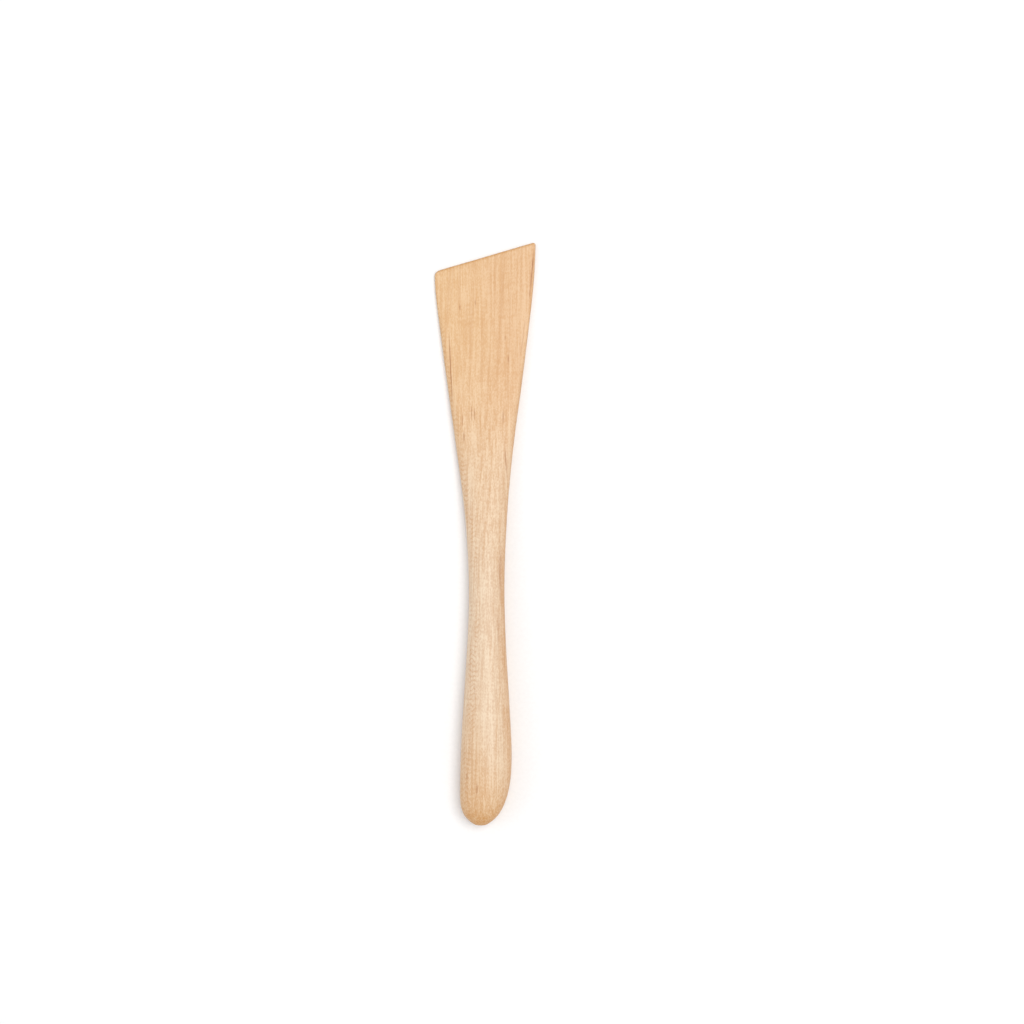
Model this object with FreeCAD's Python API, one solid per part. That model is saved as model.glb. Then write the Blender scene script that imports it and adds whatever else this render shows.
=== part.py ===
"""Clay modeling tool: a flat slanted blade, a slim waist and a rounded handle, carved from one maple blank.

Millimetres. The tool lies on its back: +Y runs from the handle to the blade, +X across it, +Z up.
The origin is under the middle of the tool, on the surface that it lies on.
"""
import FreeCAD, Part
import math
import os
from collections import namedtuple

# Stations along the tool. along: distance from the handle's end. left, right: the sides. under, top: the
# heights. round_over: how far each side's rounding reaches in (about half the width makes an oval).
# An under level below zero is sanded away, which leaves the blade's back flat.
Station = namedtuple("Station", "along left right under top round_over")
STATIONS = (
    Station(along=0.0, left=-8.4, right=9.7, under=-0.10, top=12.4, round_over=8.5),
    Station(along=22.0, left=-8.3, right=9.4, under=-0.15, top=12.6, round_over=8.4),
    Station(along=50.0, left=-6.8, right=7.95, under=0.35, top=11.7, round_over=7.0),
    Station(along=80.0, left=-5.3, right=6.6, under=0.70, top=10.1, round_over=5.6),
    Station(along=108.0, left=-6.9, right=7.7, under=0.25, top=7.7, round_over=5.5),
    Station(along=132.0, left=-10.2, right=10.0, under=-0.15, top=5.2, round_over=3.4),
    Station(along=155.0, left=-13.3, right=13.0, under=-0.25, top=3.5, round_over=2.0),
    Station(along=177.0, left=-16.1, right=15.6, under=-0.25, top=2.3, round_over=1.4),
    Station(along=189.0, left=-17.3, right=16.9, under=-0.25, top=1.8, round_over=1.1),
    Station(along=200.0, left=-17.35, right=17.45, under=-0.25, top=1.6, round_over=1.0),
    Station(along=211.0, left=-17.3, right=17.75, under=-0.25, top=1.5, round_over=0.9),
)

# Handle end: its lowest point is off the middle, and each side rounds over its own length
HEEL_X = -1.4
HEEL_Z = 5.8
HEEL_ROUND_LEFT = 9.0
HEEL_ROUND_RIGHT = 24.0
HEEL_ROUND_TOP = 12.0
HEEL_ROUND_UNDER = 14.0
HEEL_CAP_ANGLE = 2.0

# Working edge: its distance from the handle's end on the centre line, its slant up towards +X, the sides of
# its squared blank, the radius of each corner, and the small bevel along its upper side
EDGE_ALONG = 198.2
EDGE_SLANT = 16.4
LOW_SIDE = -17.45
HIGH_SIDE = 17.65
LOW_CORNER_RADIUS = 1.0
HIGH_CORNER_RADIUS = 0.6
BEVEL_WIDTH = 0.4
BEVEL_START = 1.65
BEVEL_ANGLE = 45.0

# How finely the body is drawn, and the sizes of the blank and the waste that is cut from it
HEEL_SECTIONS = 9
BODY_SECTIONS = 24
SIDE_POINTS = 9
BLANK_HEIGHT = 20.0
BLANK_START = -10.0
WASTE_SIZE = 120.0


def along_curve(field):
    """A smooth curve of one station value, with the distance along the tool as its parameter."""
    points = [FreeCAD.Vector(station.along, getattr(station, field), 0) for station in STATIONS]
    distances = [station.along for station in STATIONS]
    curve = Part.BSplineCurve()
    curve.interpolate(Points=points, Parameters=distances)
    return curve


def heel_share(along, reach):
    """How much of the full size is left near the handle's end: 0 at the end, 1 from reach on."""
    inward = max(0.0, 1.0 - along / reach)
    return math.sqrt(1.0 - inward ** 2)


def rounded_side(corner, across, up):
    """Half an ellipse in a cross-section, from the top flat round to the under flat."""
    turn = math.pi / (SIDE_POINTS - 1)
    angles = [math.pi / 2 - turn * step for step in range(SIDE_POINTS)]
    points = [corner + FreeCAD.Vector(across * math.cos(a), 0, up * math.sin(a)) for a in angles]
    curve = Part.BSplineCurve()
    curve.interpolate(points)
    return curve.toShape()


def section(curves, along):
    """One closed cross-section: flat on top and below, with an elliptical rounding at each side."""
    full = {field: curve.value(along).y for field, curve in curves.items()}
    left = HEEL_X + (full["left"] - HEEL_X) * heel_share(along, HEEL_ROUND_LEFT)
    right = HEEL_X + (full["right"] - HEEL_X) * heel_share(along, HEEL_ROUND_RIGHT)
    top = HEEL_Z + (full["top"] - HEEL_Z) * heel_share(along, HEEL_ROUND_TOP)
    under = HEEL_Z + (full["under"] - HEEL_Z) * heel_share(along, HEEL_ROUND_UNDER)
    round_over = full["round_over"] * (right - left) / (full["right"] - full["left"])
    half_height = (top - under) / 2
    left_corner = FreeCAD.Vector(left + round_over, along, (top + under) / 2)
    right_corner = FreeCAD.Vector(right - round_over, along, (top + under) / 2)
    up = FreeCAD.Vector(0, 0, half_height)
    return Part.Wire([
        Part.LineSegment(left_corner + up, right_corner + up).toShape(),
        rounded_side(right_corner, round_over, half_height),
        Part.LineSegment(right_corner - up, left_corner - up).toShape(),
        rounded_side(left_corner, -round_over, half_height),
    ])


def section_distances():
    """Where the cross-sections stand: close together at the handle's end, then evenly spaced."""
    turn = (90.0 - HEEL_CAP_ANGLE) / HEEL_SECTIONS
    angles = [math.radians(HEEL_CAP_ANGLE + turn * step) for step in range(HEEL_SECTIONS)]
    heel = [HEEL_ROUND_RIGHT * (1.0 - math.cos(angle)) for angle in angles]
    step_length = (STATIONS[-1].along - HEEL_ROUND_RIGHT) / BODY_SECTIONS
    body = [HEEL_ROUND_RIGHT + step_length * step for step in range(BODY_SECTIONS + 1)]
    return heel + body


def lofted_body():
    """The whole body from the handle's end to past the working edge, before its edge and back are cut."""
    curves = {field: along_curve(field) for field in Station._fields if field != "along"}
    sections = [section(curves, along) for along in section_distances()]
    return Part.makeLoft(sections, True)


def working_corners(blank):
    """The squared blank's upright edges at the working edge, from the low side to the high side."""
    upright = [edge for edge in blank.Edges if edge.BoundBox.ZLength > BLANK_HEIGHT / 2]
    at_blade = [edge for edge in upright if edge.CenterOfMass.y > EDGE_ALONG / 2]
    return sorted(at_blade, key=lambda edge: edge.CenterOfMass.x)


def squared_blank():
    """The squared blank: its under face is the flat back, its slanted end the working edge."""
    rise = math.tan(math.radians(EDGE_SLANT))
    outline = Part.makePolygon([
        FreeCAD.Vector(LOW_SIDE, BLANK_START, 0),
        FreeCAD.Vector(HIGH_SIDE, BLANK_START, 0),
        FreeCAD.Vector(HIGH_SIDE, EDGE_ALONG + rise * HIGH_SIDE, 0),
        FreeCAD.Vector(LOW_SIDE, EDGE_ALONG + rise * LOW_SIDE, 0),
    ], True)
    blank = Part.Face(outline).extrude(FreeCAD.Vector(0, 0, BLANK_HEIGHT))
    blank = blank.makeFillet(LOW_CORNER_RADIUS, working_corners(blank)[:1])
    return blank.makeFillet(HIGH_CORNER_RADIUS, working_corners(blank)[-1:])


def bevel_waste():
    """The sliver of waste above the small bevel along the working edge."""
    origin = FreeCAD.Vector(0, 0, 0)
    corner = FreeCAD.Vector(-WASTE_SIZE / 2, 0, -WASTE_SIZE / 2)
    waste = Part.makeBox(WASTE_SIZE, WASTE_SIZE, WASTE_SIZE, corner)
    waste.rotate(origin, FreeCAD.Vector(1, 0, 0), BEVEL_ANGLE)
    waste.translate(FreeCAD.Vector(0, -BEVEL_WIDTH, BEVEL_START))
    waste.rotate(origin, FreeCAD.Vector(0, 0, 1), EDGE_SLANT)
    waste.translate(FreeCAD.Vector(0, EDGE_ALONG, 0))
    return waste


def maple_body():
    """The carved tool, centred over the origin and resting on it."""
    body = lofted_body().common(squared_blank()).cut(bevel_waste())
    box = body.optimalBoundingBox(False)
    body.translate(FreeCAD.Vector(-box.Center.x, -box.Center.y, -box.ZMin))
    return body.Solids[0]


def main():
    """Build the tool and write it as one solid."""
    os.makedirs("parts", exist_ok=True)
    maple_body().exportStep("parts/maple_body.step")


main()
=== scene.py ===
"""A clay modeling tool carved from one piece of maple, lying on its back on a pale studio floor.

The blade points along +Y, its slanted edge is highest at +X, and its carved face looks up along +Z.
"""
import logging
import math
from dataclasses import dataclass, field
from enum import Enum

import bmesh
import bpy
import numpy as np
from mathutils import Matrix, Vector

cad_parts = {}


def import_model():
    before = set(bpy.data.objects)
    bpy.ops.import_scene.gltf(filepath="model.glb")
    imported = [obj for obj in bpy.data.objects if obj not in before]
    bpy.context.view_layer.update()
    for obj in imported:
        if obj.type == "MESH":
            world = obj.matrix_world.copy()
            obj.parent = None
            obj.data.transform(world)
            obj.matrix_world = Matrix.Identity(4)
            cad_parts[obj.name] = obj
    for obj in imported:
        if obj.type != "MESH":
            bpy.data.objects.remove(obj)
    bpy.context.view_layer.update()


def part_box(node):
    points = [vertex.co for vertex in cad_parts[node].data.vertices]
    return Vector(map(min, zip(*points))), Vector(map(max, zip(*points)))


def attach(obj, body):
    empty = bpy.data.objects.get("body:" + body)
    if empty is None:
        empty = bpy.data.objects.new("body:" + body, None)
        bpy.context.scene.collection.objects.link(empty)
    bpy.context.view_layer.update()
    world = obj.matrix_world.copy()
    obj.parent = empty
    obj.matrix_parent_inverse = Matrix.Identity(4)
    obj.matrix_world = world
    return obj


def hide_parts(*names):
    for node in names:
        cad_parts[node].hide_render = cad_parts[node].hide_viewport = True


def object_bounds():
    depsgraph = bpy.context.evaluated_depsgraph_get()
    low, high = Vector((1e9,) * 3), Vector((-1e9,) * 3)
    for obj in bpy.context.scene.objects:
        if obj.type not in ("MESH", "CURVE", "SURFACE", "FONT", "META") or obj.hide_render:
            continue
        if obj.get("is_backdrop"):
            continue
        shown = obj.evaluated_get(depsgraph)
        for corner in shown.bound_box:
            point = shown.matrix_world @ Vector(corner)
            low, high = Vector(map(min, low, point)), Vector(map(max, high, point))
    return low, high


LOG = logging.getLogger("clay_modeling_tool")
Source = bpy.types.NodeSocket | float | tuple
Colour = tuple[float, float, float]
MM = 0.001


def ease(value: float, low: float, high: float) -> float:
    """Ease from 0 to 1 while a value goes from one limit to the other.

    Args:
        value: the value.
        low: where the change starts.
        high: where it ends.

    Returns:
        The eased share.
    """
    share = min(max((value - low) / (high - low), 0.0), 1.0)
    return share * share * (3 - 2 * share)


class RingPart(Enum):
    """Matching points on both sides of a ring, which has a point every 30 degrees from the right side."""

    FLAT_ENDS = ((2, 4, 8, 10), 60.0, 90.0)
    SHOULDERS = ((1, 5, 7, 11), 30.0, 45.0)

    def __init__(self, places: tuple[int, ...], oval_turn: float, flat_turn: float) -> None:
        """Keep where the points stand.

        Args:
            places: the points' numbers in the ring.
            oval_turn: their angle from level on the oval handle, in degrees.
            flat_turn: their angle from level on the rounding of the flat blade.
        """
        self.places = places
        self.oval_turn = oval_turn
        self.flat_turn = flat_turn


@dataclass(frozen=True)
class Section:
    """The box of one cut across the carved body, measured from the tool's centre line.

    Args:
        left: how far the cut reaches on the low side, in metres.
        right: how far it reaches on the high side.
        under: its lowest height.
        top: its greatest height.
    """

    left: float
    right: float
    under: float
    top: float

    @property
    def middle(self) -> float:
        """Return how far the cut's middle is off the centre line."""
        return (self.left + self.right) / 2

    @property
    def height(self) -> float:
        """Return the height of the cut's middle."""
        return (self.under + self.top) / 2

    @property
    def half_width(self) -> float:
        """Return half the cut's width."""
        return (self.right - self.left) / 2

    @property
    def half_thickness(self) -> float:
        """Return half the cut's thickness."""
        return (self.top - self.under) / 2


class CarvedBody:
    """The designed body, which is cut across wherever a size is wanted."""

    def __init__(self, node: str) -> None:
        """Read the body's corners and edges.

        Args:
            node: the designed body's name in the frame.
        """
        mesh = bpy.data.objects[node].data
        corners = np.empty(len(mesh.vertices) * 3)
        mesh.vertices.foreach_get("co", corners)
        edges = np.empty(len(mesh.edges) * 2, dtype=int)
        mesh.edges.foreach_get("vertices", edges)
        self.corners = corners.reshape(-1, 3)
        self.starts, self.ends = edges.reshape(-1, 2).T
        self.heel_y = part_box(node)[0].y

    def cut(self, along: float, lean: float) -> Section:
        """Cut the body across and measure the cut.

        Args:
            along: the distance from the handle's end to the cut on the centre line, in metres.
            lean: how far the cut leans from square across, in radians.

        Returns:
            The cut's box.
        """
        forward = np.array((-math.sin(lean), math.cos(lean), 0.0))
        across = np.array((math.cos(lean), math.sin(lean), 0.0))
        from_cut = self.corners - np.array((0.0, self.heel_y + along, 0.0))
        ahead = from_cut @ forward
        start, end = ahead[self.starts], ahead[self.ends]
        crossed = start * end < 0
        share = (start[crossed] / (start[crossed] - end[crossed]))[:, None]
        first, last = from_cut[self.starts[crossed]], from_cut[self.ends[crossed]]
        points = first + (last - first) * share
        sideways = points @ across
        return Section(sideways.min(), sideways.max(), points[:, 2].min(), points[:, 2].max())


@dataclass
class MapleTool:
    """The whole tool: one piece of maple, drawn out ring by ring from its handle's end to its working edge.

    Sizes other than the distances from the handle's end are in metres, angles are in radians, and the
    rest are shares and counts.
    """

    name: str = "maple_tool"
    node: str = "maple_body"
    slot: str = "maple"

    # Distances from the handle's end on the centre line, in millimetres
    heel_rings: tuple[float, ...] = (0.5, 2.6, 6.2, 11.0, 17.5, 26.0)
    grip_rings: tuple[float, ...] = (38.0, 52.0, 66.0, 80.0, 94.0, 107.0, 119.0, 131.0, 143.0)
    blade_rings: tuple[float, ...] = (155.0, 166.0, 175.5, 183.5, 189.5, 193.8, 196.2, 197.5)
    edge_along: float = 198.2
    heel_reach: float = 9.0
    flat_starts: float = 88.0
    flat_full: float = 152.0
    lean_starts: float = 158.0
    lean_full: float = 193.8
    arris_ring_span: tuple[float, float] = (131.0, 184.0)

    # The rings: their points, how much larger they stand than the skin they draw, and how they are measured
    ring_points: int = 12
    oval_fullness: float = 1.047
    heel_fullness: float = 1.136
    blade_round_over: float = 1.05
    edge_slant: float = math.radians(16.4)
    ring_tolerance: float = 0.05 * MM
    cut_clearance: float = 0.01 * MM

    # The two ends, the crisp line along the blade's low side, and the sanded surface
    cap_depth: float = 0.44 * MM
    cap_share: float = 0.6
    edge_softness: float = 0.3 * MM
    low_corner: float = 0.8 * MM
    high_corner: float = 0.2 * MM
    corner_reach: float = 2.0
    arris_place: int = 4
    arris_crispness: float = 0.6
    subdivisions: int = 3
    sanding_depth: float = 0.10 * MM
    sanding_size: float = 14.0 * MM

    body: CarvedBody = field(init=False)
    piece: bpy.types.Object = field(init=False)

    def __post_init__(self) -> None:
        """Take the designed body to measure from."""
        self.body = CarvedBody(self.node)

    def build(self) -> bpy.types.Object:
        """Model the tool.

        Returns:
            The finished piece.
        """
        self.start_heel()
        self.draw_out()
        self.flatten_blade()
        self.crisp_arris()
        self.lean_blade()
        self.close_ends()
        self.finish_surface()
        self.sand_by_hand()
        return self.piece

    def rings(self) -> list[float]:
        """Return every ring's distance from the handle's end, in metres."""
        distances = (*self.heel_rings, *self.grip_rings, *self.blade_rings, self.edge_along)
        return [along * MM for along in distances]

    def flatness(self, along: float) -> float:
        """Work out how flat the body is at a ring.

        Args:
            along: the ring's distance from the handle's end, in metres.

        Returns:
            0 where the body is oval, 1 where it is a flat blade.
        """
        return ease(along / MM, self.flat_starts, self.flat_full)

    def lean(self, along: float) -> float:
        """Work out how far a ring leans towards the working edge's slant.

        Args:
            along: the ring's distance from the handle's end, in metres.

        Returns:
            The lean in radians.
        """
        return self.edge_slant * ease(along / MM, self.lean_starts, self.lean_full)

    def fullness(self, along: float) -> float:
        """Work out how much larger a ring stands than the smooth skin that it draws.

        Args:
            along: the ring's distance from the handle's end, in metres.

        Returns:
            The ring's size as a share of the skin's.
        """
        oval = self.oval_fullness
        heel = max(0.0, 1.0 - along / MM / self.heel_reach)
        return oval + (1.0 - oval) * self.flatness(along) + (self.heel_fullness - oval) * heel

    def start_heel(self) -> None:
        """Stand a short round block where the handle begins, with its ends cut to the first two rings."""
        first, second = self.rings()[:2]
        size = self.body.cut(first, 0.0)
        bpy.ops.object.select_all(action="DESELECT")
        bpy.ops.mesh.primitive_cylinder_add(
            vertices=self.ring_points,
            radius=1.0,
            depth=second - first,
            end_fill_type="NGON",
            location=(size.middle, self.body.heel_y + (first + second) / 2, size.height),
            rotation=(math.radians(90), 0, 0),
            scale=(size.half_width * self.fullness(first), size.half_thickness * self.fullness(first), 1.0),
        )
        self.piece = bpy.context.object
        self.piece.name = self.name
        self.piece.data.name = self.name
        bpy.ops.object.transform_apply(location=True, rotation=True, scale=True)
        bpy.ops.object.mode_set(mode="EDIT")
        bpy.ops.mesh.select_mode(type="VERT")
        self.fit_ring(second, self.body.cut(first, 0.0), self.body.cut(second, 0.0))

    def ring(self, along: float) -> list[int]:
        """Find a ring before it leans.

        Args:
            along: the ring's distance from the handle's end.

        Returns:
            The numbers of its vertices in order, anticlockwise from the right side.
        """
        y = self.body.heel_y + along
        mesh = bmesh.from_edit_mesh(self.piece.data)
        ring = [vertex for vertex in mesh.verts if abs(vertex.co.y - y) < self.ring_tolerance]
        middle = sum((vertex.co for vertex in ring), Vector()) / len(ring)
        half_width = max(vertex.co.x for vertex in ring) - middle.x
        half_thickness = max(vertex.co.z for vertex in ring) - middle.z
        small_turn = math.radians(5)

        def turn(vertex: bmesh.types.BMVert) -> float:
            """Measure a vertex's angle round the ring, as if the ring were a circle.

            Args:
                vertex: one of the ring's vertices.

            Returns:
                The angle in radians.
            """
            across = (vertex.co.x - middle.x) / half_width
            up = (vertex.co.z - middle.z) / half_thickness
            return (math.atan2(up, across) + small_turn) % math.tau

        return [vertex.index for vertex in sorted(ring, key=turn)]

    def select(self, numbers: list[int]) -> None:
        """Select some vertices and nothing else.

        Args:
            numbers: the vertices' numbers.
        """
        bpy.ops.mesh.select_all(action="DESELECT")
        mesh = bmesh.from_edit_mesh(self.piece.data)
        mesh.verts.ensure_lookup_table()
        for number in numbers:
            mesh.verts[number].select = True
        mesh.select_flush_mode()
        bmesh.update_edit_mesh(self.piece.data)

    def fit_ring(self, along: float, old: Section, new: Section) -> None:
        """Bring the ring at a distance from one cut's size and place to another's.

        Args:
            along: the ring's distance from the handle's end.
            old: the cut whose size the ring has.
            new: the cut whose size it is to have.
        """
        self.select(self.ring(along))
        y = self.body.heel_y + along
        bpy.ops.transform.resize(
            value=(new.half_width / old.half_width, 1.0, new.half_thickness / old.half_thickness),
            center_override=(old.middle, y, old.height),
        )
        bpy.ops.transform.translate(value=(new.middle - old.middle, 0.0, new.height - old.height))

    def draw_out(self) -> None:
        """Extrude the block's front end from ring to ring, and fit each ring to the body."""
        rings = self.rings()
        for before, along in zip(rings[1:-1], rings[2:]):
            old = self.body.cut(before, self.lean(before))
            new = self.body.cut(along - self.cut_clearance, self.lean(along))
            self.select(self.ring(before))
            bpy.ops.mesh.extrude_region_move(TRANSFORM_OT_translate={"value": (0.0, along - before, 0.0)})
            self.fit_ring(along, old, new)
            growth = self.fullness(along) / self.fullness(before)
            middle = (new.middle, self.body.heel_y + along, new.height)
            bpy.ops.transform.resize(value=(growth, 1.0, growth), center_override=middle)

    def flatten_blade(self) -> None:
        """Spread each blade ring's upper and lower points into flats, with a rounding at each side."""
        for along in self.rings():
            flatness = self.flatness(along)
            if flatness == 0.0:
                continue
            size = self.body.cut(along - self.cut_clearance, self.lean(along))
            middle = (size.middle, self.body.heel_y + along, size.height)
            blade_rounding = self.blade_round_over * size.half_thickness
            rounding = size.half_width + (blade_rounding - size.half_width) * flatness
            flat = size.half_width - rounding
            for part in RingPart:
                oval_turn = math.radians(part.oval_turn)
                turn = math.radians(part.oval_turn + (part.flat_turn - part.oval_turn) * flatness)
                across = (flat + rounding * math.cos(turn)) / (size.half_width * math.cos(oval_turn))
                up = math.sin(turn) / math.sin(oval_turn)
                ring = self.ring(along)
                self.select([ring[place] for place in part.places])
                bpy.ops.transform.resize(value=(across, 1.0, up), center_override=middle)

    def crisp_arris(self) -> None:
        """Keep the line crisp where the carved face meets the rounding of the blade's low side."""
        start, end = self.arris_ring_span
        crisp_rings = [along for along in self.rings() if start <= along / MM <= end]
        self.select([self.ring(along)[self.arris_place] for along in crisp_rings])
        bpy.ops.transform.edge_crease(value=self.arris_crispness)

    def lean_blade(self) -> None:
        """Lean the blade's rings one by one towards the slant of the working edge."""
        for along in self.rings():
            lean = self.lean(along)
            if lean == 0.0:
                continue
            self.select(self.ring(along))
            middle = (0.0, self.body.heel_y + along, 0.0)
            bpy.ops.transform.rotate(value=-lean, orient_axis="Z", center_override=middle)

    def close_ends(self) -> None:
        """Round the handle's end, turn the blade's corners and soften its working edge."""
        self.select_cap(-1.0)
        bpy.ops.mesh.extrude_region_move(TRANSFORM_OT_translate={"value": (0.0, -self.cap_depth, 0.0)})
        self.shrink_selected(self.cap_share)
        self.select_cap(1.0)
        self.turn_corner(-1.0, self.low_corner)
        self.select_cap(1.0)
        self.turn_corner(1.0, self.high_corner)
        self.select_cap(1.0)
        bpy.ops.mesh.bevel(offset=self.edge_softness, segments=2, affect="EDGES")

    def select_cap(self, way: float) -> None:
        """Select the flat face at one end.

        Args:
            way: -1 for the handle's end, 1 for the working edge.
        """
        bpy.ops.mesh.select_all(action="DESELECT")
        mesh = bmesh.from_edit_mesh(self.piece.data)
        caps = [face for face in mesh.faces if len(face.verts) == self.ring_points]
        cap = max(caps, key=lambda face: face.calc_center_median().y * way)
        cap.select_set(True)
        bmesh.update_edit_mesh(self.piece.data)

    def selected_box(self) -> tuple[Vector, Vector]:
        """Measure what is selected.

        Returns:
            Its lowest and its highest corner.
        """
        mesh = bmesh.from_edit_mesh(self.piece.data)
        places = [vertex.co for vertex in mesh.verts if vertex.select]
        return Vector(map(min, zip(*places))), Vector(map(max, zip(*places)))

    def shrink_selected(self, share: float) -> None:
        """Shrink what is selected about its middle."""
        low, high = self.selected_box()
        bpy.ops.transform.resize(value=(share, 1.0, share), center_override=(low + high) / 2)

    def turn_corner(self, side: float, radius: float) -> None:
        """Pull in the working edge's end on one side, so that its corner is rounded in plan.

        Args:
            side: -1 for the low corner, 1 for the high one.
            radius: how far the corner is pulled in, in metres.
        """
        low, high = self.selected_box()
        end = high.x if side > 0 else low.x
        reach = self.corner_reach * radius
        mesh = bmesh.from_edit_mesh(self.piece.data)
        edge = [vertex for vertex in mesh.verts if vertex.select]
        self.select([vertex.index for vertex in edge if abs(vertex.co.x - end) < reach])
        pull = -side * radius
        bpy.ops.transform.translate(value=(pull, pull * math.tan(self.edge_slant), 0.0))

    def finish_surface(self) -> None:
        """Leave edit mode, smooth the drawn shape and apply it."""
        bpy.ops.mesh.select_all(action="SELECT")
        bpy.ops.mesh.normals_make_consistent(inside=False)
        bpy.ops.object.mode_set(mode="OBJECT")
        smoothing = self.piece.modifiers.new("smooth skin", "SUBSURF")
        smoothing.levels = self.subdivisions
        smoothing.render_levels = self.subdivisions
        bpy.ops.object.modifier_apply(modifier=smoothing.name)
        bpy.ops.object.shade_smooth()

    def sand_by_hand(self) -> None:
        """Leave the faint unevenness that sanding by hand leaves."""
        unevenness = bpy.data.textures.new("hand_sanding", "CLOUDS")
        unevenness.noise_scale = self.sanding_size
        unevenness.noise_depth = 1
        sanding = self.piece.modifiers.new("hand sanding", "DISPLACE")
        sanding.texture = unevenness
        sanding.texture_coords = "LOCAL"
        sanding.strength = self.sanding_depth
        sanding.mid_level = 0.5
        bpy.ops.object.modifier_apply(modifier=sanding.name)

    def dress(self, maple: bpy.types.Material) -> None:
        """Give the piece its finish and tell the frame what it stands for.

        Args:
            maple: the finish.
        """
        self.piece.data.materials.append(maple)
        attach(self.piece, "root")
        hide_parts(self.node)


@dataclass(frozen=True)
class Grain:
    """One kind of soft grain, drawn out along the tool.

    Args:
        across: how many grains there are to the metre across the tool and through it.
        along: how many there are to the metre along it.
        detail: how many finer layers it has.
        roughness: how strong the finer layers are.
    """

    across: float
    along: float
    detail: float = 2.0
    roughness: float = 0.5


class NodeBench:
    """A material under construction, with short ways to add a node and join it up."""

    def __init__(self, name: str) -> None:
        """Start an empty material.

        Args:
            name: the material's name.
        """
        self.material = bpy.data.materials.new(name)
        self.material.use_nodes = True
        self.tree = self.material.node_tree
        self.tree.nodes.clear()
        self.output = self.tree.nodes.new("ShaderNodeOutputMaterial")
        coordinates = self.tree.nodes.new("ShaderNodeTexCoord")
        self.place = coordinates.outputs["Object"]
        self.facing = coordinates.outputs["Normal"]

    def join(self, socket: bpy.types.NodeSocket, value: Source) -> None:
        """Feed a socket with another node's output, or set it to a value.

        Args:
            socket: the socket that is fed.
            value: the output or the value.
        """
        if isinstance(value, bpy.types.NodeSocket):
            self.tree.links.new(value, socket)
        else:
            socket.default_value = value

    def math(self, operation: str, *values: Source) -> bpy.types.NodeSocket:
        """Work out one number from others.

        Args:
            operation: Blender's name of the operation.
            values: what it works on, in order.

        Returns:
            The result.
        """
        node = self.tree.nodes.new("ShaderNodeMath")
        node.operation = operation
        for socket, value in zip(node.inputs, values):
            self.join(socket, value)
        return node.outputs[0]

    def vector(self, operation: str, *values: Source) -> bpy.types.Node:
        """Work on vectors.

        Args:
            operation: Blender's name of the operation.
            values: what it works on, in order.

        Returns:
            The node, so that either of its outputs can be read.
        """
        node = self.tree.nodes.new("ShaderNodeVectorMath")
        node.operation = operation
        for socket, value in zip(node.inputs, values):
            self.join(socket, value)
        return node

    def noise(self, place: Source, detail: float, roughness: float = 0.5) -> bpy.types.NodeSocket:
        """Make soft cloudy noise, one grain to each unit of the place.

        Args:
            place: where the noise is read.
            detail: how many finer layers it has.
            roughness: how strong the finer layers are.

        Returns:
            The noise, from 0 to 1.
        """
        node = self.tree.nodes.new("ShaderNodeTexNoise")
        node.inputs["Scale"].default_value = 1.0
        node.inputs["Detail"].default_value = detail
        node.inputs["Roughness"].default_value = roughness
        self.join(node.inputs["Vector"], place)
        return node.outputs["Fac"]

    def grain(self, grain: Grain) -> bpy.types.NodeSocket:
        """Lay one kind of grain through the solid piece.

        Args:
            grain: the kind.

        Returns:
            The grain, from 0 to 1.
        """
        place = self.vector("MULTIPLY", self.place, (grain.across, grain.along, grain.across)).outputs[0]
        return self.noise(place, grain.detail, grain.roughness)

    def centred(self, value: Source, size: float) -> bpy.types.NodeSocket:
        """Shift a value from 0 to 1 so that it lies evenly about 0, and give its range a size."""
        return self.math("MULTIPLY", self.math("SUBTRACT", value, 0.5), size)

    def span(
        self, value: Source, low: float, high: float, first: float = 0.0, last: float = 1.0
    ) -> bpy.types.NodeSocket:
        """Ease a value from one number to another.

        Args:
            value: what is read.
            low: where the change starts.
            high: where it ends.
            first: the result at low and before it.
            last: the result at high and after it.

        Returns:
            The eased result.
        """
        node = self.tree.nodes.new("ShaderNodeMapRange")
        node.interpolation_type = "SMOOTHSTEP"
        for name, number in zip(("From Min", "From Max", "To Min", "To Max"), (low, high, first, last)):
            node.inputs[name].default_value = number
        self.join(node.inputs["Value"], value)
        return node.outputs[0]

    def tint(self, share: Source, colour: Source, other: Source) -> bpy.types.NodeSocket:
        """Mix two colours.

        Args:
            share: how much of the other colour there is, from 0 to 1.
            colour: the colour underneath.
            other: the colour laid over it.

        Returns:
            The mixed colour.
        """
        node = self.tree.nodes.new("ShaderNodeMix")
        node.data_type = "RGBA"
        # The mix's share, and its two colours
        sockets = (node.inputs[0], node.inputs[6], node.inputs[7])
        for socket, value in zip(sockets, (share, colour, other)):
            self.join(socket, (*value, 1.0) if isinstance(value, tuple) else value)
        return node.outputs[2]

    def split(self, vector: bpy.types.NodeSocket) -> tuple[bpy.types.NodeSocket, ...]:
        """Take a vector apart.

        Args:
            vector: the vector.

        Returns:
            Its X, Y and Z.
        """
        node = self.tree.nodes.new("ShaderNodeSeparateXYZ")
        self.join(node.inputs[0], vector)
        return tuple(node.outputs)

    def combine(self, x: Source, y: Source, z: Source) -> bpy.types.NodeSocket:
        """Put a vector together.

        Args:
            x: its X.
            y: its Y.
            z: its Z.

        Returns:
            The vector.
        """
        node = self.tree.nodes.new("ShaderNodeCombineXYZ")
        for socket, value in zip(node.inputs, (x, y, z)):
            self.join(socket, value)
        return node.outputs[0]

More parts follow.
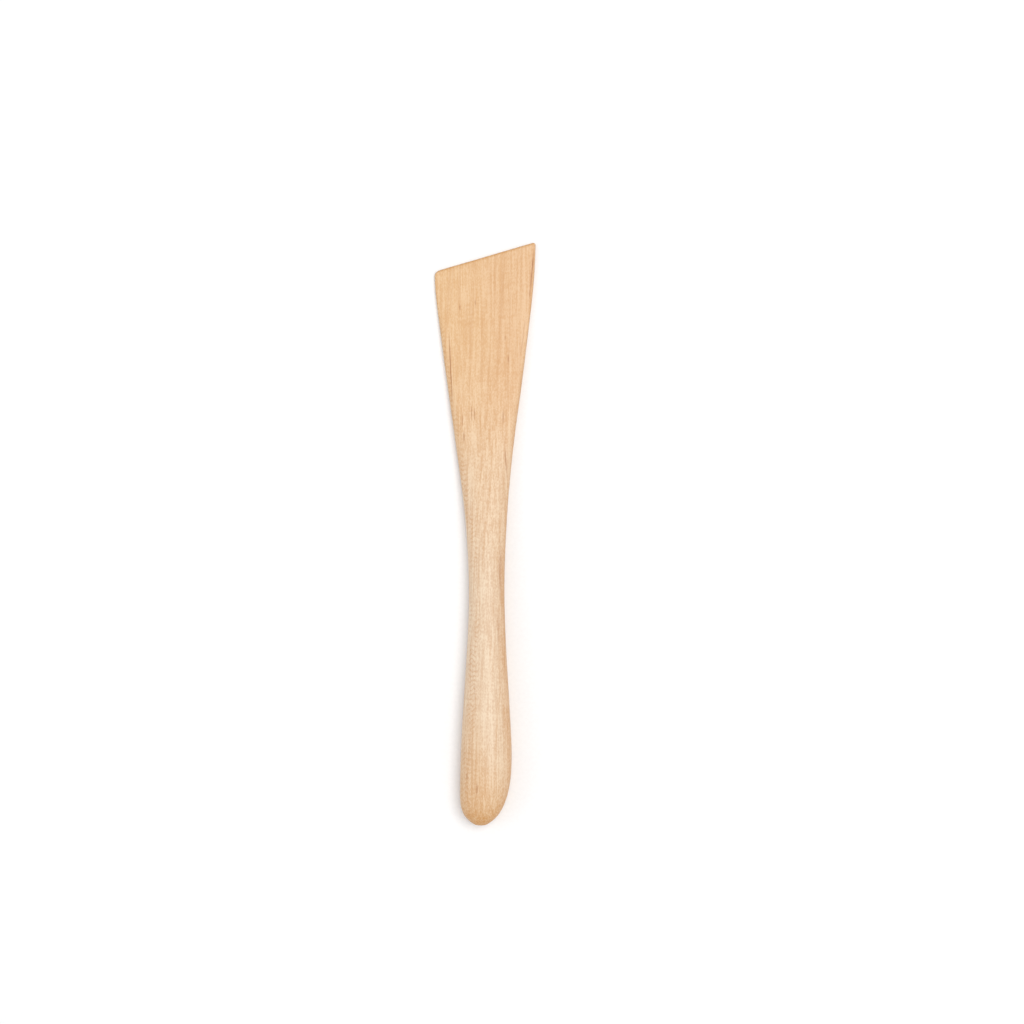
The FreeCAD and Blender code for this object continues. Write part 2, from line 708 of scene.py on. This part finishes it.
    def bump(self, height: Source, depth: float, under: Source | None = None) -> bpy.types.NodeSocket:
        """Roughen the surface.

        Args:
            height: the height, from 0 to 1.
            depth: what a height of 1 stands for, in metres.
            under: the surface direction that is roughened, if it isn't the plain one.

        Returns:
            The surface direction.
        """
        node = self.tree.nodes.new("ShaderNodeBump")
        node.inputs["Strength"].default_value = 1.0
        node.inputs["Distance"].default_value = depth
        self.join(node.inputs["Height"], height)
        if under is not None:
            self.join(node.inputs["Normal"], under)
        return node.outputs[0]


@dataclass(frozen=True)
class DarkStreak:
    """One darker streak, long and thin along the grain: most are mineral marks in the wood, and two are
    painted shade lines along the blade's edges.

    Args:
        across: its middle's distance from the tool's centre line, in millimetres.
        along: its middle's distance along the tool from the origin.
        half_width: how far it reaches to each side.
        half_length: how far it reaches each way along the tool.
        strength: how much it darkens the wood, from 0 to 1.
        drift: how far it moves across for each millimetre along.
    """

    across: float
    along: float
    half_width: float
    half_length: float
    strength: float
    drift: float = 0.0


@dataclass(frozen=True)
class MapleFinish:
    """Fine-sanded bare maple, cut through solid wood, so that each face shows the grain that lies there."""

    name: str = "maple"

    # The wood's own colours from the blade to the handle's end, with painted sheen in the pale one, and those
    # of what lies over them, with painted shade among them
    honey: Colour = (0.752, 0.476, 0.240)
    rosy: Colour = (0.735, 0.450, 0.236)
    # Paler wood on the handle, with painted sheen of the crest's highlight in it
    pale: Colour = (0.782, 0.622, 0.458)
    heel: Colour = (0.680, 0.405, 0.190)
    # Painted shade and warm bounce light on the high flank
    flank_shade: Colour = (0.620, 0.350, 0.175)
    end_grain: Colour = (0.600, 0.280, 0.060)
    cream: Colour = (0.880, 0.690, 0.480)
    ring_line: Colour = (0.560, 0.270, 0.100)
    # Mineral marks, also used for the painted shade lines along the blade's edges
    mineral_and_edge_shade: Colour = (0.390, 0.145, 0.050)

    # How the colours change: across the tool, and along it in metres from the origin
    drift_grain: Grain = Grain(70, 16)
    drift_across: float = 28.0
    drift_along: float = 0.08
    rosy_span: tuple[float, float] = (-0.4, 0.5)
    pale_span: tuple[float, float] = (-0.030, 0.075)
    heel_span: tuple[float, float] = (-0.108, -0.050)
    heel_share: float = 0.95

    # The growth rings, which lie tilted in the blank: each line darkens slowly and stops short
    ring_tilt: float = math.radians(38)
    ring_width: float = 1.9 * MM
    ring_wander: float = 1.6 * MM
    wander_grain: Grain = Grain(22, 7, detail=1.0)
    season_grain: tuple[float, float] = (300, 5)
    season_change: float = 3.2
    darkening_span: tuple[float, float] = (0.25, 0.85)
    stopping_span: tuple[float, float] = (0.86, 1.0)
    line_sharpness: float = 1.6
    ring_strength_grain: Grain = Grain(420, 38, detail=3.0, roughness=0.6)
    ring_strength_span: tuple[float, float] = (0.36, 0.66)
    faintest_ring: float = 0.05
    ring_share: float = 0.32

    # The fibres, each layer with its share of their depth, and their contrast
    fibre_layers: tuple[tuple[Grain, float], ...] = (
        (Grain(680, 8), 0.12),
        (Grain(1700, 22), 0.40),
        (Grain(2600, 1250, detail=1.0), 0.36),
        (Grain(120, 430), 0.12),
    )
    fibre_span: tuple[float, float] = (0.38, 0.62)
    contrast_span: tuple[float, float] = (0.01, 0.07)
    handle_contrast: float = 0.41
    blade_contrast: float = 0.27

    # The ray flecks, in rungs that show in patches; the flank and face spans are of how far the surface turns
    ray_spacing: float = 1.7 * MM
    ray_wobble: float = 14.0
    ray_wobble_grain: Grain = Grain(700, 110)
    ray_rung_span: tuple[float, float] = (0.0, 0.95)
    ray_patch_grain: Grain = Grain(520, 60)
    ray_patch_span: tuple[float, float] = (0.40, 0.58)
    faintest_ray: float = 0.15
    ray_flank_span: tuple[float, float] = (-0.96, -0.80)
    ray_face_span: tuple[float, float] = (-0.50, -0.20)
    ray_on_face: float = 0.12
    ray_share: float = 0.38

    # The high flank's painted shade and warm bounce light, and the end grain, each with its ragged edge
    flank_shade_grain: Grain = Grain(260, 45)
    flank_shade_raggedness: float = 0.5
    flank_shade_span: tuple[float, float] = (0.35, 0.95)
    flank_shade_share: float = 0.80
    end_speckle: Grain = Grain(900, 300, detail=3.0)
    end_raggedness: float = 0.30
    end_span: tuple[float, float] = (0.06, 0.78)

    # The satin surface and its relief
    gloss: float = 0.35
    satin_span: tuple[float, float] = (0.35, 0.65)
    roughness_span: tuple[float, float] = (0.46, 0.56)
    fibre_relief: float = 0.030 * MM
    pore_relief: float = 0.010 * MM
    ring_relief: float = 0.006 * MM
    pore_grain: Grain = Grain(3600, 420)

    # The darker streaks: mineral marks in the wood, and two lines of painted shade along the blade's edges
    mark_raggedness: float = 1.6
    mark_edge: tuple[float, float] = (0.1, 1.3)
    mark_grain: Grain = Grain(2200, 300)
    marks: tuple[DarkStreak, ...] = (
        DarkStreak(-8.9, 78.8, 0.24, 1.3, 0.65),
        DarkStreak(-3.4, 80.5, 0.24, 1.3, 0.55),
        DarkStreak(7.0, 68.3, 0.24, 1.1, 0.50),
        DarkStreak(8.1, 60.7, 0.24, 2.0, 0.60),
        DarkStreak(-4.7, 41.8, 0.22, 2.6, 0.70),
        DarkStreak(-3.7, 41.2, 0.22, 2.2, 0.60),
        DarkStreak(6.3, 40.8, 0.22, 2.6, 0.60),
        DarkStreak(-7.9, 39.2, 0.24, 2.2, 0.55),
        DarkStreak(-7.3, 33.6, 0.26, 2.0, 0.75),
        DarkStreak(7.2, 24.9, 0.32, 6.0, 0.60, -0.07),
        # Painted shade: a dark line along the crisp arris of the blade's low side
        DarkStreak(-12.0, 56.5, 0.26, 13.0, 0.80, -0.050),
        # Painted shade: a dark orange line along the high rim of the blade's tip, where its rounding turns
        # from the light
        DarkStreak(16.3, 91.0, 0.36, 9.5, 0.75, 0.10),
        DarkStreak(13.2, 68.0, 0.26, 8.0, 0.30, 0.13),
        DarkStreak(5.2, -13.0, 0.60, 10.0, 0.40),
        DarkStreak(4.6, -34.0, 0.50, 8.0, 0.28),
        DarkStreak(-2.7, -88.4, 0.28, 2.2, 0.70),
        DarkStreak(-6.2, -84.0, 0.28, 1.6, 0.45),
        DarkStreak(-3.6, -55.0, 0.28, 3.4, 0.30),
    )

    def material(self) -> bpy.types.Material:
        """Make the finish.

        Returns:
            The material.
        """
        bench = NodeBench(self.name)
        rings = self.growth_rings(bench)
        fibres = self.fibres(bench)
        colour = self.board_colour(bench)
        # Painted shade and warm bounce light on the high side's flank, placed by which way the surface faces
        colour = bench.tint(self.flank_shade_cover(bench), colour, self.flank_shade)
        colour = bench.tint(self.end_cover(bench), colour, self.end_grain)
        along = bench.split(bench.place)[1]
        contrast = bench.span(along, *self.contrast_span, self.handle_contrast, self.blade_contrast)
        light = bench.tint(contrast, colour, self.cream)
        deep = bench.tint(contrast, colour, self.ring_line)
        colour = bench.tint(bench.span(fibres, *self.fibre_span), light, deep)
        colour = bench.tint(bench.math("MULTIPLY", rings, self.ring_share), colour, self.ring_line)
        flecks = bench.math("MULTIPLY", self.ray_flecks(bench), self.ray_share)
        colour = bench.tint(flecks, colour, self.ring_line)
        # Mineral marks in the wood, and painted shade lines along the blade's low arris and high rim
        colour = bench.tint(self.mark_cover(bench), colour, self.mineral_and_edge_shade)
        shader = bench.tree.nodes.new("ShaderNodeBsdfPrincipled")
        bench.join(shader.inputs["Base Color"], colour)
        bench.join(shader.inputs["Roughness"], bench.span(fibres, *self.satin_span, *self.roughness_span))
        shader.inputs["Specular IOR Level"].default_value = self.gloss
        bench.join(shader.inputs["Normal"], self.relief(bench, fibres, rings))
        bench.join(bench.output.inputs["Surface"], shader.outputs[0])
        return bench.material

    def board_colour(self, bench: NodeBench) -> bpy.types.NodeSocket:
        """Mix the wood's own colour, honey to rosy across the blade, pale on the handle, where the paler tone
        also carries painted sheen, and warm at its end.

        Args:
            bench: the material under construction.

        Returns:
            The colour.
        """
        across, along, _ = bench.split(bench.place)
        drift = bench.grain(self.drift_grain)
        side = bench.math("MULTIPLY_ADD", across, self.drift_across, bench.centred(drift, 1.0))
        colour = bench.tint(bench.span(side, *self.rosy_span), self.honey, self.rosy)
        wavering = bench.math("ADD", bench.centred(drift, self.drift_along), along)
        # Paler wood towards the handle, which also carries painted sheen on the rounded neck and handle
        colour = bench.tint(bench.span(wavering, *self.pale_span, 1.0, 0.0), colour, self.pale)
        return bench.tint(bench.span(wavering, *self.heel_span, self.heel_share, 0.0), colour, self.heel)

    def distance_out(self, bench: NodeBench) -> bpy.types.NodeSocket:
        """Measure how far out from the tree's heart a place is, with the rings' slow wander.

        Args:
            bench: the material under construction.

        Returns:
            The distance in metres.
        """
        across, _, up = bench.split(bench.place)
        out = bench.math("MULTIPLY", across, math.cos(self.ring_tilt))
        out = bench.math("MULTIPLY_ADD", up, math.sin(self.ring_tilt), out)
        return bench.math("ADD", out, bench.centred(bench.grain(self.wander_grain), self.ring_wander))

    def growth_rings(self, bench: NodeBench) -> bpy.types.NodeSocket:
        """Draw the darker line that ends each year's growth.

        Args:
            bench: the material under construction.

        Returns:
            1 on the lines, falling to 0 between them.
        """
        out = self.distance_out(bench)
        along = bench.split(bench.place)[1]
        outward, lengthways = self.season_grain
        seasons = bench.combine(
            bench.math("MULTIPLY", out, outward), bench.math("MULTIPLY", along, lengthways), 0.0
        )
        years = bench.math("DIVIDE", out, self.ring_width)
        years = bench.math("MULTIPLY_ADD", bench.noise(seasons, 1.0), self.season_change, years)
        season = bench.math("FRACT", years)
        rise = bench.span(season, *self.darkening_span)
        fall = bench.span(season, *self.stopping_span, 1.0, 0.0)
        line = bench.math("POWER", bench.math("MULTIPLY", rise, fall), self.line_sharpness)
        strength = bench.grain(self.ring_strength_grain)
        strength = bench.span(strength, *self.ring_strength_span, self.faintest_ring, 1.0)
        return bench.math("MULTIPLY", line, strength)

    def fibres(self, bench: NodeBench) -> bpy.types.NodeSocket:
        """Lay the fine streaks that run along the grain.

        Args:
            bench: the material under construction.

        Returns:
            The streaks' depth, from 0 to 1.
        """
        depth: Source = 0.0
        for grain, share in self.fibre_layers:
            depth = bench.math("MULTIPLY_ADD", bench.grain(grain), share, depth)
        return depth

    def ray_flecks(self, bench: NodeBench) -> bpy.types.NodeSocket:
        """Scatter the small flecks that the wood's rays make, in ladders along the low side's shoulder.

        Args:
            bench: the material under construction.

        Returns:
            1 on a fleck and 0 off it.
        """
        along = bench.split(bench.place)[1]
        wobble = bench.math("MULTIPLY", bench.grain(self.ray_wobble_grain), self.ray_wobble)
        rungs = bench.math("SINE", bench.math("MULTIPLY_ADD", along, math.tau / self.ray_spacing, wobble))
        patches = bench.grain(self.ray_patch_grain)
        patches = bench.span(patches, *self.ray_patch_span, self.faintest_ray, 1.0)
        fleck = bench.math("MULTIPLY", bench.span(rungs, *self.ray_rung_span), patches)
        sideways = bench.split(bench.facing)[0]
        from_flank = bench.span(sideways, *self.ray_flank_span)
        from_face = bench.span(sideways, *self.ray_face_span, 1.0, self.ray_on_face)
        return bench.math("MULTIPLY", fleck, bench.math("MULTIPLY", from_flank, from_face))

    def mark_cover(self, bench: NodeBench) -> bpy.types.NodeSocket:
        """Lay out the darker streaks: mineral marks in the wood, and painted shade along the blade's low
        arris and high rim.

        Args:
            bench: the material under construction.

        Returns:
            How much of the mark colour shows, which also serves as the painted edge shade.
        """
        across, along, _ = bench.split(bench.place)
        ragged = bench.centred(bench.grain(self.mark_grain), self.mark_raggedness)
        cover: Source = 0.0
        for mark in self.marks:
            from_middle = bench.math("SUBTRACT", along, mark.along * MM)
            lengthways = bench.math("DIVIDE", from_middle, mark.half_length * MM)
            shift = bench.math("MULTIPLY_ADD", from_middle, -mark.drift, across)
            shift = bench.math("SUBTRACT", shift, mark.across * MM)
            sideways = bench.math("DIVIDE", shift, mark.half_width * MM)
            reach = bench.vector("LENGTH", bench.combine(sideways, lengthways, 0.0)).outputs["Value"]
            reach = bench.math("ADD", reach, ragged)
            cover = bench.math("ADD", cover, bench.span(reach, *self.mark_edge, mark.strength, 0.0))
        return bench.math("MINIMUM", cover, 1.0)

    def flank_shade_cover(self, bench: NodeBench) -> bpy.types.NodeSocket:
        """Find the high side's flank, which is painted darker and warmer as shade and warm bounce light.

        Args:
            bench: the material under construction.

        Returns:
            How much of the painted flank shade shows.
        """
        patches = bench.centred(bench.grain(self.flank_shade_grain), self.flank_shade_raggedness)
        sideways = bench.math("ADD", patches, bench.split(bench.facing)[0])
        return bench.span(sideways, *self.flank_shade_span, 0.0, self.flank_shade_share)

    def end_cover(self, bench: NodeBench) -> bpy.types.NodeSocket:
        """Find the darker end grain, where the surface faces along the tool.

        Args:
            bench: the material under construction.

        Returns:
            How much of the end grain's colour shows.
        """
        speckle = bench.centred(bench.grain(self.end_speckle), self.end_raggedness)
        endways = bench.math("ABSOLUTE", bench.split(bench.facing)[1])
        return bench.span(bench.math("ADD", speckle, endways), *self.end_span)

    def relief(
        self, bench: NodeBench, fibres: bpy.types.NodeSocket, rings: bpy.types.NodeSocket
    ) -> bpy.types.NodeSocket:
        """Raise the grain's fine relief.

        Args:
            bench: the material under construction.
            fibres: the streaks' depth.
            rings: the growth lines.

        Returns:
            The surface direction.
        """
        surface = bench.bump(fibres, self.fibre_relief)
        surface = bench.bump(bench.grain(self.pore_grain), self.pore_relief, surface)
        return bench.bump(rings, self.ring_relief, surface)


@dataclass(frozen=True)
class FloorFinish:
    """Plain pale paper."""

    name: str = "pale_paper"
    colour: Colour = (0.94, 0.94, 0.94)
    shade: Colour = (0.92, 0.92, 0.92)
    tooth: Grain = Grain(900, 900)
    tooth_span: tuple[float, float] = (0.3, 0.7)
    tooth_depth: float = 0.01 * MM
    roughness: float = 0.9
    gloss: float = 0.2

    def material(self) -> bpy.types.Material:
        """Make the finish.

        Returns:
            The material.
        """
        bench = NodeBench(self.name)
        tooth = bench.grain(self.tooth)
        colour = bench.tint(bench.span(tooth, *self.tooth_span), self.colour, self.shade)
        shader = bench.tree.nodes.new("ShaderNodeBsdfPrincipled")
        bench.join(shader.inputs["Base Color"], colour)
        shader.inputs["Roughness"].default_value = self.roughness
        shader.inputs["Specular IOR Level"].default_value = self.gloss
        bench.join(shader.inputs["Normal"], bench.bump(tooth, self.tooth_depth))
        bench.join(bench.output.inputs["Surface"], shader.outputs[0])
        return bench.material


@dataclass(frozen=True)
class SoftBox:
    """One soft studio light.

    Args:
        name: the light's name.
        place: where it hangs, in metres.
        size: the length of its side.
        power: its power in watts.
        colour: the colour of its light.
    """

    name: str
    place: tuple[float, float, float]
    size: float
    power: float
    colour: Colour

    def hang(self) -> None:
        """Hang the light, facing the origin."""
        bpy.ops.object.light_add(type="AREA", location=self.place)
        light = bpy.context.object
        light.name = self.name
        light.data.shape = "SQUARE"
        light.data.size = self.size
        light.data.energy = self.power
        light.data.color = self.colour
        light.rotation_euler = (-Vector(self.place)).to_track_quat("-Z", "Y").to_euler()
        light.visible_camera = False


@dataclass
class Studio:
    """The pale floor, the soft lights and the camera that looks straight down."""

    floor_size: float = 16.0
    camera_height: float = 0.8465
    camera_offset: tuple[float, float] = (9.4 * MM, 7.4 * MM)
    lens: float = 85.0
    room_colour: Colour = (0.97, 0.98, 1.0)
    room_strength: float = 0.64
    lights: tuple[SoftBox, ...] = (
        SoftBox("overhead_softbox", (0.30, 0.10, 1.30), 0.8, 9.6, (1.0, 0.99, 0.97)),
        SoftBox("left_fill", (-1.15, 0.0, 0.85), 0.9, 2.2, (0.76, 0.86, 1.0)),
    )

    def build(self) -> None:
        """Set up the floor, the room light, the lights and the camera."""
        self.lay_floor()
        self.light_room()
        for light in self.lights:
            light.hang()
        self.place_camera()

    def lay_floor(self) -> None:
        """Lay the floor under the object, and mark it as part of the stage."""
        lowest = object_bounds()[0].z
        bpy.ops.object.select_all(action="DESELECT")
        bpy.ops.mesh.primitive_plane_add(size=self.floor_size, location=(0.0, 0.0, lowest))
        floor = bpy.context.object
        floor.name = "floor"
        bpy.ops.object.transform_apply(location=True)
        floor.data.materials.append(FloorFinish().material())
        floor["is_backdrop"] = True

    def light_room(self) -> None:
        """Fill the room with even pale light."""
        room = bpy.data.worlds.new("room")
        room.use_nodes = True
        background = room.node_tree.nodes["Background"]
        background.inputs["Color"].default_value = (*self.room_colour, 1.0)
        background.inputs["Strength"].default_value = self.room_strength
        bpy.context.scene.world = room
        bpy.context.scene.view_settings.view_transform = "Standard"

    def place_camera(self) -> None:
        """Hang the camera over the tool, looking straight down with the blade upwards."""
        low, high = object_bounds()
        middle = (low + high) / 2
        place = (middle.x + self.camera_offset[0], middle.y + self.camera_offset[1], self.camera_height)
        bpy.ops.object.camera_add(location=place, rotation=(0.0, 0.0, 0.0))
        camera = bpy.context.object
        camera.name = "camera"
        camera.data.lens = self.lens
        bpy.context.scene.camera = camera


def main() -> None:
    """Build the tool and its studio, and log each piece."""
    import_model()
    tool = MapleTool()
    piece = tool.build()
    tool.dress(MapleFinish().material())
    LOG.info("%s: %d faces", piece.name, len(piece.data.polygons))
    Studio().build()


if __name__ == "__main__":
    logging.basicConfig(level=logging.INFO)
    main()
